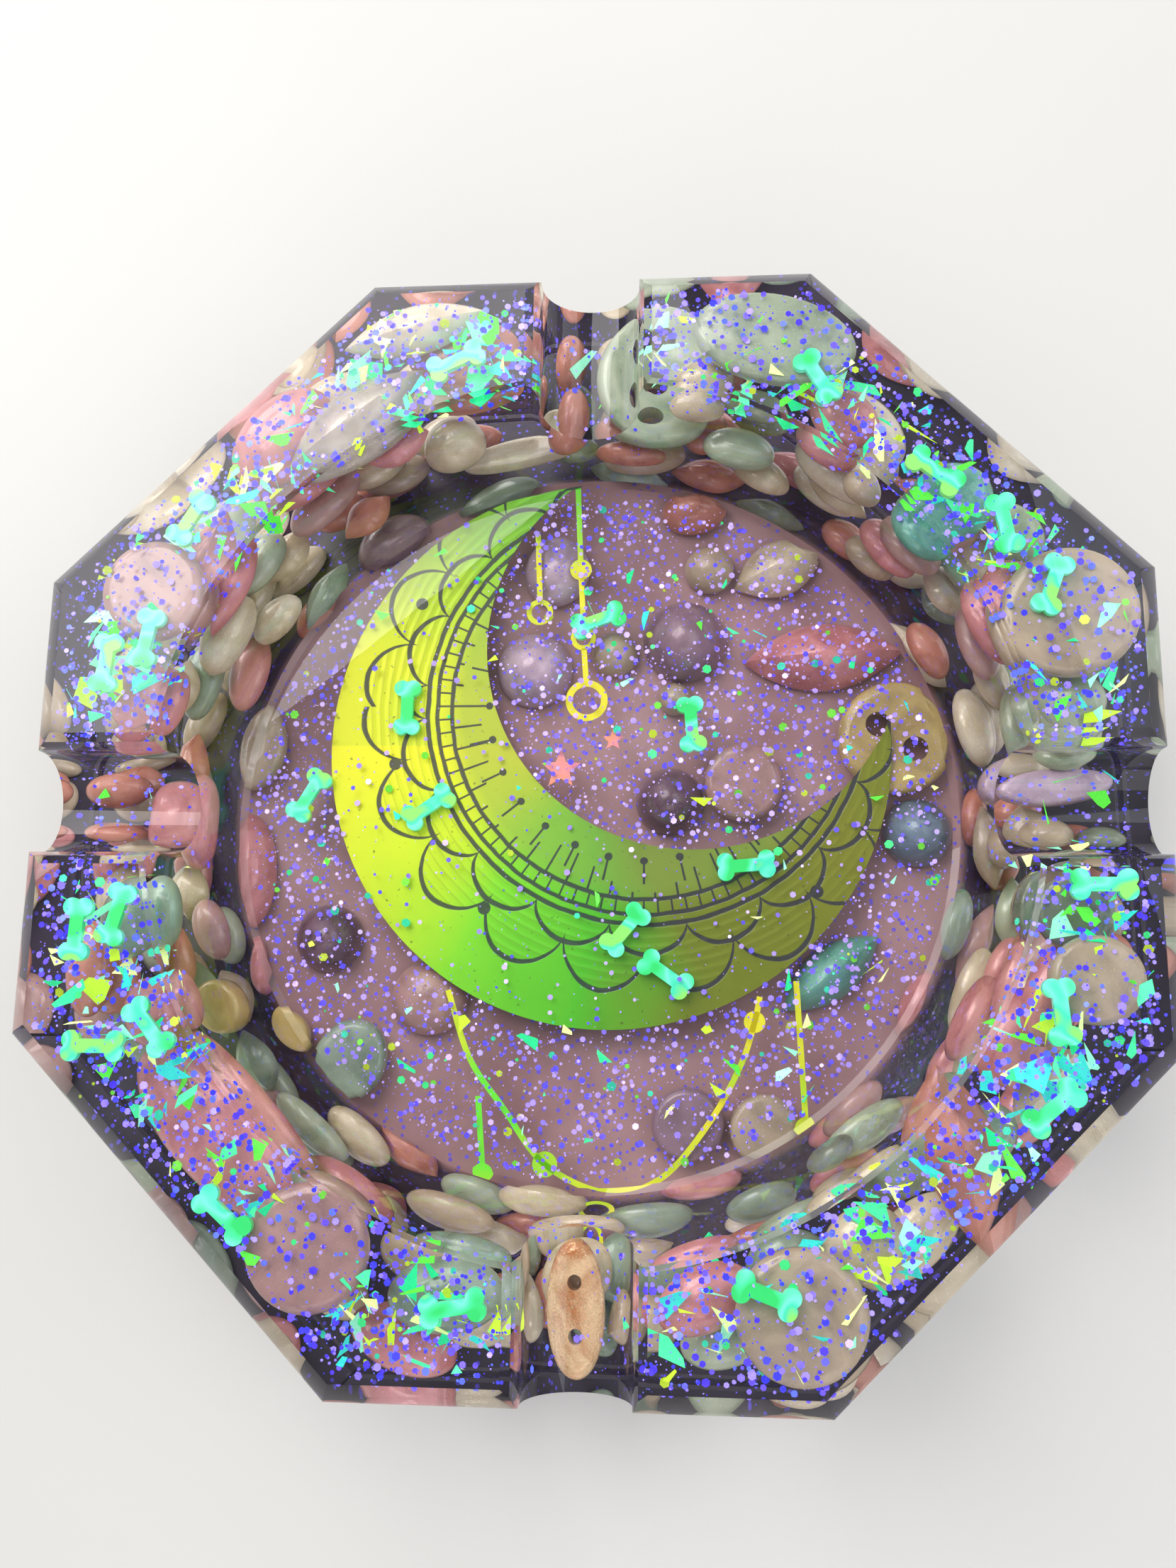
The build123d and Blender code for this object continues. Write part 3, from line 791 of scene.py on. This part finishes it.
def make_deep_pebbles(paints):
    """Beads that fill the rim between and below the large ones."""
    kinds = ("rose", "cream", "sage", "blush", "celadon", "sand", "ivory", "salmon")
    placed = {kind: [] for kind in kinds}
    taken = [(row[2], row[3], row[4], row[5], row[7]) for row in FLOOR_BEADS + RING_BEADS + CORNER_BEADS]
    for bed in PEBBLE_BEDS:
        for _ in range(PEBBLE_TRIES):
            length, width = random.uniform(7.5, 12), random.uniform(5.5, 7.5)
            x, y = random.uniform(-SPREAD, SPREAD), random.uniform(-SPREAD, SPREAD)
            if not pebble_room(x, y, bed, length, width) or not clear_of(taken, x, y, bed, length):
                continue
            taken.append((x, y, bed, length, PEBBLE_HEIGHT))
            along_wall = atan2(y, x) + pi / 2 + random.uniform(-0.35, 0.35)
            matrix = Matrix.Translation((x * MM, y * MM, bed * MM)) @ Matrix.Rotation(along_wall, 4, "Z")
            shape = random.choice(("dome", "dome", "marquise"))
            placed[random.choice(kinds)].append((bead_mesh(shape, length, width, PEBBLE_HEIGHT), matrix))
    for kind, beads in placed.items():
        mesh = joined(f"deep_{kind}_pebbles", beads)
        smooth(mesh, 50)
        piece(f"deep_{kind}_pebbles", mesh, paints[kind], "beige_pearl")


# ---- flakes ----
OVER_MOON = 0.16  # share of the floor's flakes that may lie on the moon
FOIL_TOP, FLOOR_SKIN = 10.35, 11.85  # heights between which the floor's flakes lie


def flake(points, faces, centre, outline, thick, tilt):
    """Adds one thin closed plate to points and faces."""
    start, count = len(points), len(outline)
    for z in (-thick / 2, thick / 2):
        for x, y in outline:
            points.append(tuple(tilt @ Vector((x, y, z)) + centre))
    faces.append(tuple(reversed(range(start, start + count))))
    faces.append(tuple(range(start + count, start + 2 * count)))
    for i in range(count):
        j = (i + 1) % count
        faces.append((start + i, start + j, start + count + j, start + count + i))


def leaning(most):
    """A random turn, tipped by up to most radians."""
    spin = Matrix.Rotation(random.uniform(0, 2 * pi), 3, "Z")
    return spin @ Matrix.Rotation(random.uniform(-most, most), 3, "X")


def hexagon(radius):
    """The outline of one flake of glitter."""
    return [(radius * cos(pi * i / 3), radius * sin(pi * i / 3)) for i in range(6)]


def splinter(size):
    """An uneven sliver with three to five corners."""
    count = random.choice((3, 4, 4, 5))
    stretch = random.uniform(0.3, 0.8)
    turns = sorted(random.uniform(0, 2 * pi) for _ in range(count))
    return [(size * cos(t), size * stretch * sin(t)) for t in turns]


def in_rim(x, y, room):
    """True if a flake of that half-length fits in a corner block, clear of all its sides."""
    if hypot(x, y) < TOP_RADIUS + LIP + room or min(abs(x), abs(y)) < NOTCH_WIDTH / 2 + 1.0 + room:
        return False
    reach = ACROSS_FLATS / 2 - RIM_CHAMFER - room
    return max(abs(x), abs(y)) < reach and (abs(x) + abs(y)) / 2**0.5 < reach


def rim_spot(room, rise):
    """A place in a corner block, near its top more often than deep in it."""
    while True:
        x, y = random.uniform(-SPREAD, SPREAD), random.uniform(-SPREAD, SPREAD)
        depth = 5.5 * random.random() ** 1.8
        z = HEIGHT - 0.4 - rise - depth
        if in_rim(x, y, room):
            return Vector((x, y, z))


def on_moon(x, y):
    """True on the crescent."""
    inside = hypot(x - MOON[0], y - MOON[1]) < MOON[2]
    return inside and hypot(x - HOLLOW[0], y - HOLLOW[1]) > HOLLOW[2]


def floor_spot(room, rise):
    """A place under the well's floor, seldom over the moon."""
    while True:
        radius = (FOOT_RADIUS - 1.5 - room) * random.random() ** 0.5
        turn = random.uniform(0, 2 * pi)
        x, y = radius * cos(turn), radius * sin(turn)
        if random.random() < OVER_MOON or not on_moon(x, y):
            return Vector((x, y, random.uniform(FOIL_TOP, FLOOR_SKIN - rise)))


def wall_spot(room, rise):
    """A place in the ring below the notches."""
    aside, inside, outside = 0.13, 44.5, 59
    low_z, high_z = 14, 18.6
    turn = random.choice((0, 0.5, 1, 1.5)) * pi + random.uniform(-aside, aside)
    radius = random.uniform(inside + room, outside - room)
    return Vector((radius * cos(turn), radius * sin(turn), random.uniform(low_z, high_z - rise)))


def make_glitter(name, material, spots, least, most, power):
    """Hexagonal flakes, most of them small. spots holds (place, count)."""
    points, faces = [], []
    lean = 0.5
    for spot, count in spots:
        for _ in range(count):
            radius = least + (most - least) * random.random() ** power
            place = spot(radius, radius * sin(lean))
            flake(points, faces, place, hexagon(radius), 0.04, leaning(lean))
    piece(name, mesh_of(name, points, faces), material, "clear_resin")


def make_shards(name, material, spots, least, most):
    """Torn bits of film. spots holds (place, count, lean)."""
    points, faces = [], []
    for spot, count, lean in spots:
        for _ in range(count):
            size = random.uniform(least, most)
            place = spot(size, size * sin(lean))
            flake(points, faces, place, splinter(size), 0.05, leaning(lean))
    piece(name, mesh_of(name, points, faces), material, "clear_resin")


VIOLETS = ["#4a35f0", "#6a54ff", "#3c3cff", "#8a76ff", "#5c70f5", "#a894ff"]
LILACS = ["#8a74ec", "#a890f4", "#6a58f4", "#c4aef8", "#5a50f6", "#b49ae8"]
GREENS = ["#35d878", "#6fd83a", "#2fc8a0", "#b0c82a"]
FILM_GREENS = ["#1fe08c", "#5cf040", "#c8f230", "#ecffa0", "#30d8c8", "#48e89c", "#98f5cc"]


def make_flakes():
    """All the glitter and the torn film in the dish."""
    # Each glitter's glow is painted sparkle.
    violet = flake_paint("violet_glitter", VIOLETS, metallic=0.3, painted_glow=0.4)
    lilac = flake_paint("lilac_glitter", LILACS, metallic=0.3, painted_glow=0.35)
    green = flake_paint("green_glitter", GREENS, metallic=0.3, painted_glow=0.3)
    film = flake_paint("iridescent_film", FILM_GREENS, metallic=0.25, painted_glow=0.4)
    over_floor = [(floor_spot, 7200)]
    over_rim = [(rim_spot, 7600), (wall_spot, 500)]
    over_both = [(floor_spot, 150), (rim_spot, 170)]
    make_glitter("floor_glitter", lilac, over_floor, least=0.06, most=0.4, power=3.4)
    make_glitter("rim_glitter", violet, over_rim, least=0.07, most=0.46, power=2.4)
    make_glitter("green_glitter", green, over_both, least=0.15, most=0.6, power=1.2)
    make_shards("rim_shards", film, [(rim_spot, 600, 1.0), (wall_spot, 18, 0.9)], least=0.7, most=2.8)
    make_shards("floor_shards", film, [(floor_spot, 54, 0.25)], least=0.5, most=1.7)


# ---- the hanging chain ----
def smooth_course(points, steps=8):
    """A curve through the points, each place with its heading."""
    ends = [Vector(p) for p in points]
    ends = [2 * ends[0] - ends[1], *ends, 2 * ends[-1] - ends[-2]]
    course = []
    for before, start, end, after in zip(ends, ends[1:], ends[2:], ends[3:]):
        leave, arrive = (end - before) / 2, (after - start) / 2
        for i in range(steps):
            t = i / steps
            bend = 3 * (end - start) - 2 * leave - arrive
            twist = 2 * (start - end) + leave + arrive
            heading = leave + 2 * t * bend + 3 * t * t * twist
            course.append((start + t * leave + t * t * bend + t**3 * twist, heading.normalized()))
    return course


def make_swag(material):
    """The chain that hangs below the moon, as one smooth ribbon with its two discs."""
    low_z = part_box("swag_chain")[0].z / MM
    high_z = low_z + FOIL_THICK
    sections = []
    for place, heading in smooth_course(SWAG):
        side = Vector((-heading.y, heading.x)) * (CHAIN_WIDTH / 2)
        left, right = place + side, place - side
        sections.append([(*left, low_z), (*right, low_z), (*right, high_z), (*left, high_z)])
    placed = [(rings_mesh("course", sections), Matrix())]
    for x, y, radius in SWAG_DISCS:
        disc = rings_mesh("disc", [circle(radius, low_z, 32), circle(radius, high_z, 32)])
        placed.append((disc, Matrix.Translation((x * MM, y * MM, 0))))
    made = piece("hanging_chain", joined("hanging_chain", placed), material, "gold_foil")
    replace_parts(made, "swag_chain")


# ---- pieces that keep their own shape ----
def dress_frame():
    """Foil and film on the flat pieces, which keep their frame shape, and the hanging chain."""
    foil, line = foil_paint(), chain_paint()
    # The last number is each film's glow, a painted sheen.
    bones = film_paint("bone_film", ["#2fd06a", "#4ae8a0", "#78f0d0", "#38d8b0", "#8ae468"], 0.25)
    stars = film_paint("star_film", ["#f0a070", "#e890a0"], 0.1)
    paints = {"moon_foil": foil, "bone_confetti": bones, "star_confetti": stars}
    for node in ("left_chain", "right_chain", "drop_chains", "front_pendant"):
        paints[node] = line
    make_swag(line)
    for node, material in paints.items():
        mesh = frame["nodes"][node].data
        mesh.materials.clear()
        mesh.materials.append(material)


# ---- stage, light and camera ----
def make_stage():
    """The table and an even pale surround."""
    radius, thick, corners = 9000, 6, 96
    mesh = rings_mesh("table", [circle(radius, -thick, corners), circle(radius, 0, corners)])
    piece("table", mesh, table_paint(), None)
    world = bpy.data.worlds.new("studio")
    world.use_nodes = True
    back = world.node_tree.nodes["Background"]
    back.inputs["Color"].default_value = (0.93, 0.95, 1.0, 1)
    back.inputs["Strength"].default_value = 0.4
    bpy.context.scene.world = world


def add_lamp(name, place, size, power, colour):
    """A square soft box that faces the dish."""
    data = bpy.data.lights.new(name, "AREA")
    data.size, data.energy, data.color = size, power, colour
    lamp = bpy.data.objects.new(name, data)
    lamp.location = place
    lamp.rotation_euler = (-Vector(place)).to_track_quat("-Z", "Y").to_euler()
    bpy.context.scene.collection.objects.link(lamp)


def set_film():
    """Plain display colours, with no film-like fading of strong hues."""
    bpy.context.scene.view_settings.view_transform = "Standard"


def make_lamps():
    """Three large soft boxes: behind on the left, on the right, and low in front."""
    add_lamp("key", (-0.28, 0.34, 0.42), size=0.5, power=3.3, colour=(1.0, 0.98, 0.95))
    add_lamp("fill", (0.45, 0.1, 0.4), size=0.6, power=1.6, colour=(0.92, 0.96, 1.0))
    add_lamp("front", (0.05, -0.5, 0.3), size=0.5, power=0.8, colour=(1.0, 0.97, 0.95))


def make_camera():
    """Close above the dish, a little in front of its middle, looking down and slightly back."""
    data = bpy.data.cameras.new("camera")
    data.lens, data.sensor_width = 30.2, 36.0
    data.clip_start = 0.01
    camera = bpy.data.objects.new("camera", data)
    eye = Vector((0.01141, -0.02393, 0.1617))
    forward = Vector((-0.0786, 0.1852, -0.9796)).normalized()
    top_of_view = Vector((0.0017, 0.9826, 0.1856))
    right = forward.cross(top_of_view).normalized()
    turn = Matrix((right, right.cross(forward), -forward)).transposed()
    camera.matrix_world = Matrix.Translation(eye) @ turn.to_4x4()
    bpy.context.scene.collection.objects.link(camera)
    bpy.context.scene.camera = camera


def main():
    make_camera()
    make_stage()
    make_lamps()
    set_film()
    make_resin(resin_paint())
    make_bed(bed_paint())
    paints = make_beads()
    make_deep_pebbles(paints)
    make_flakes()
    dress_frame()


main()
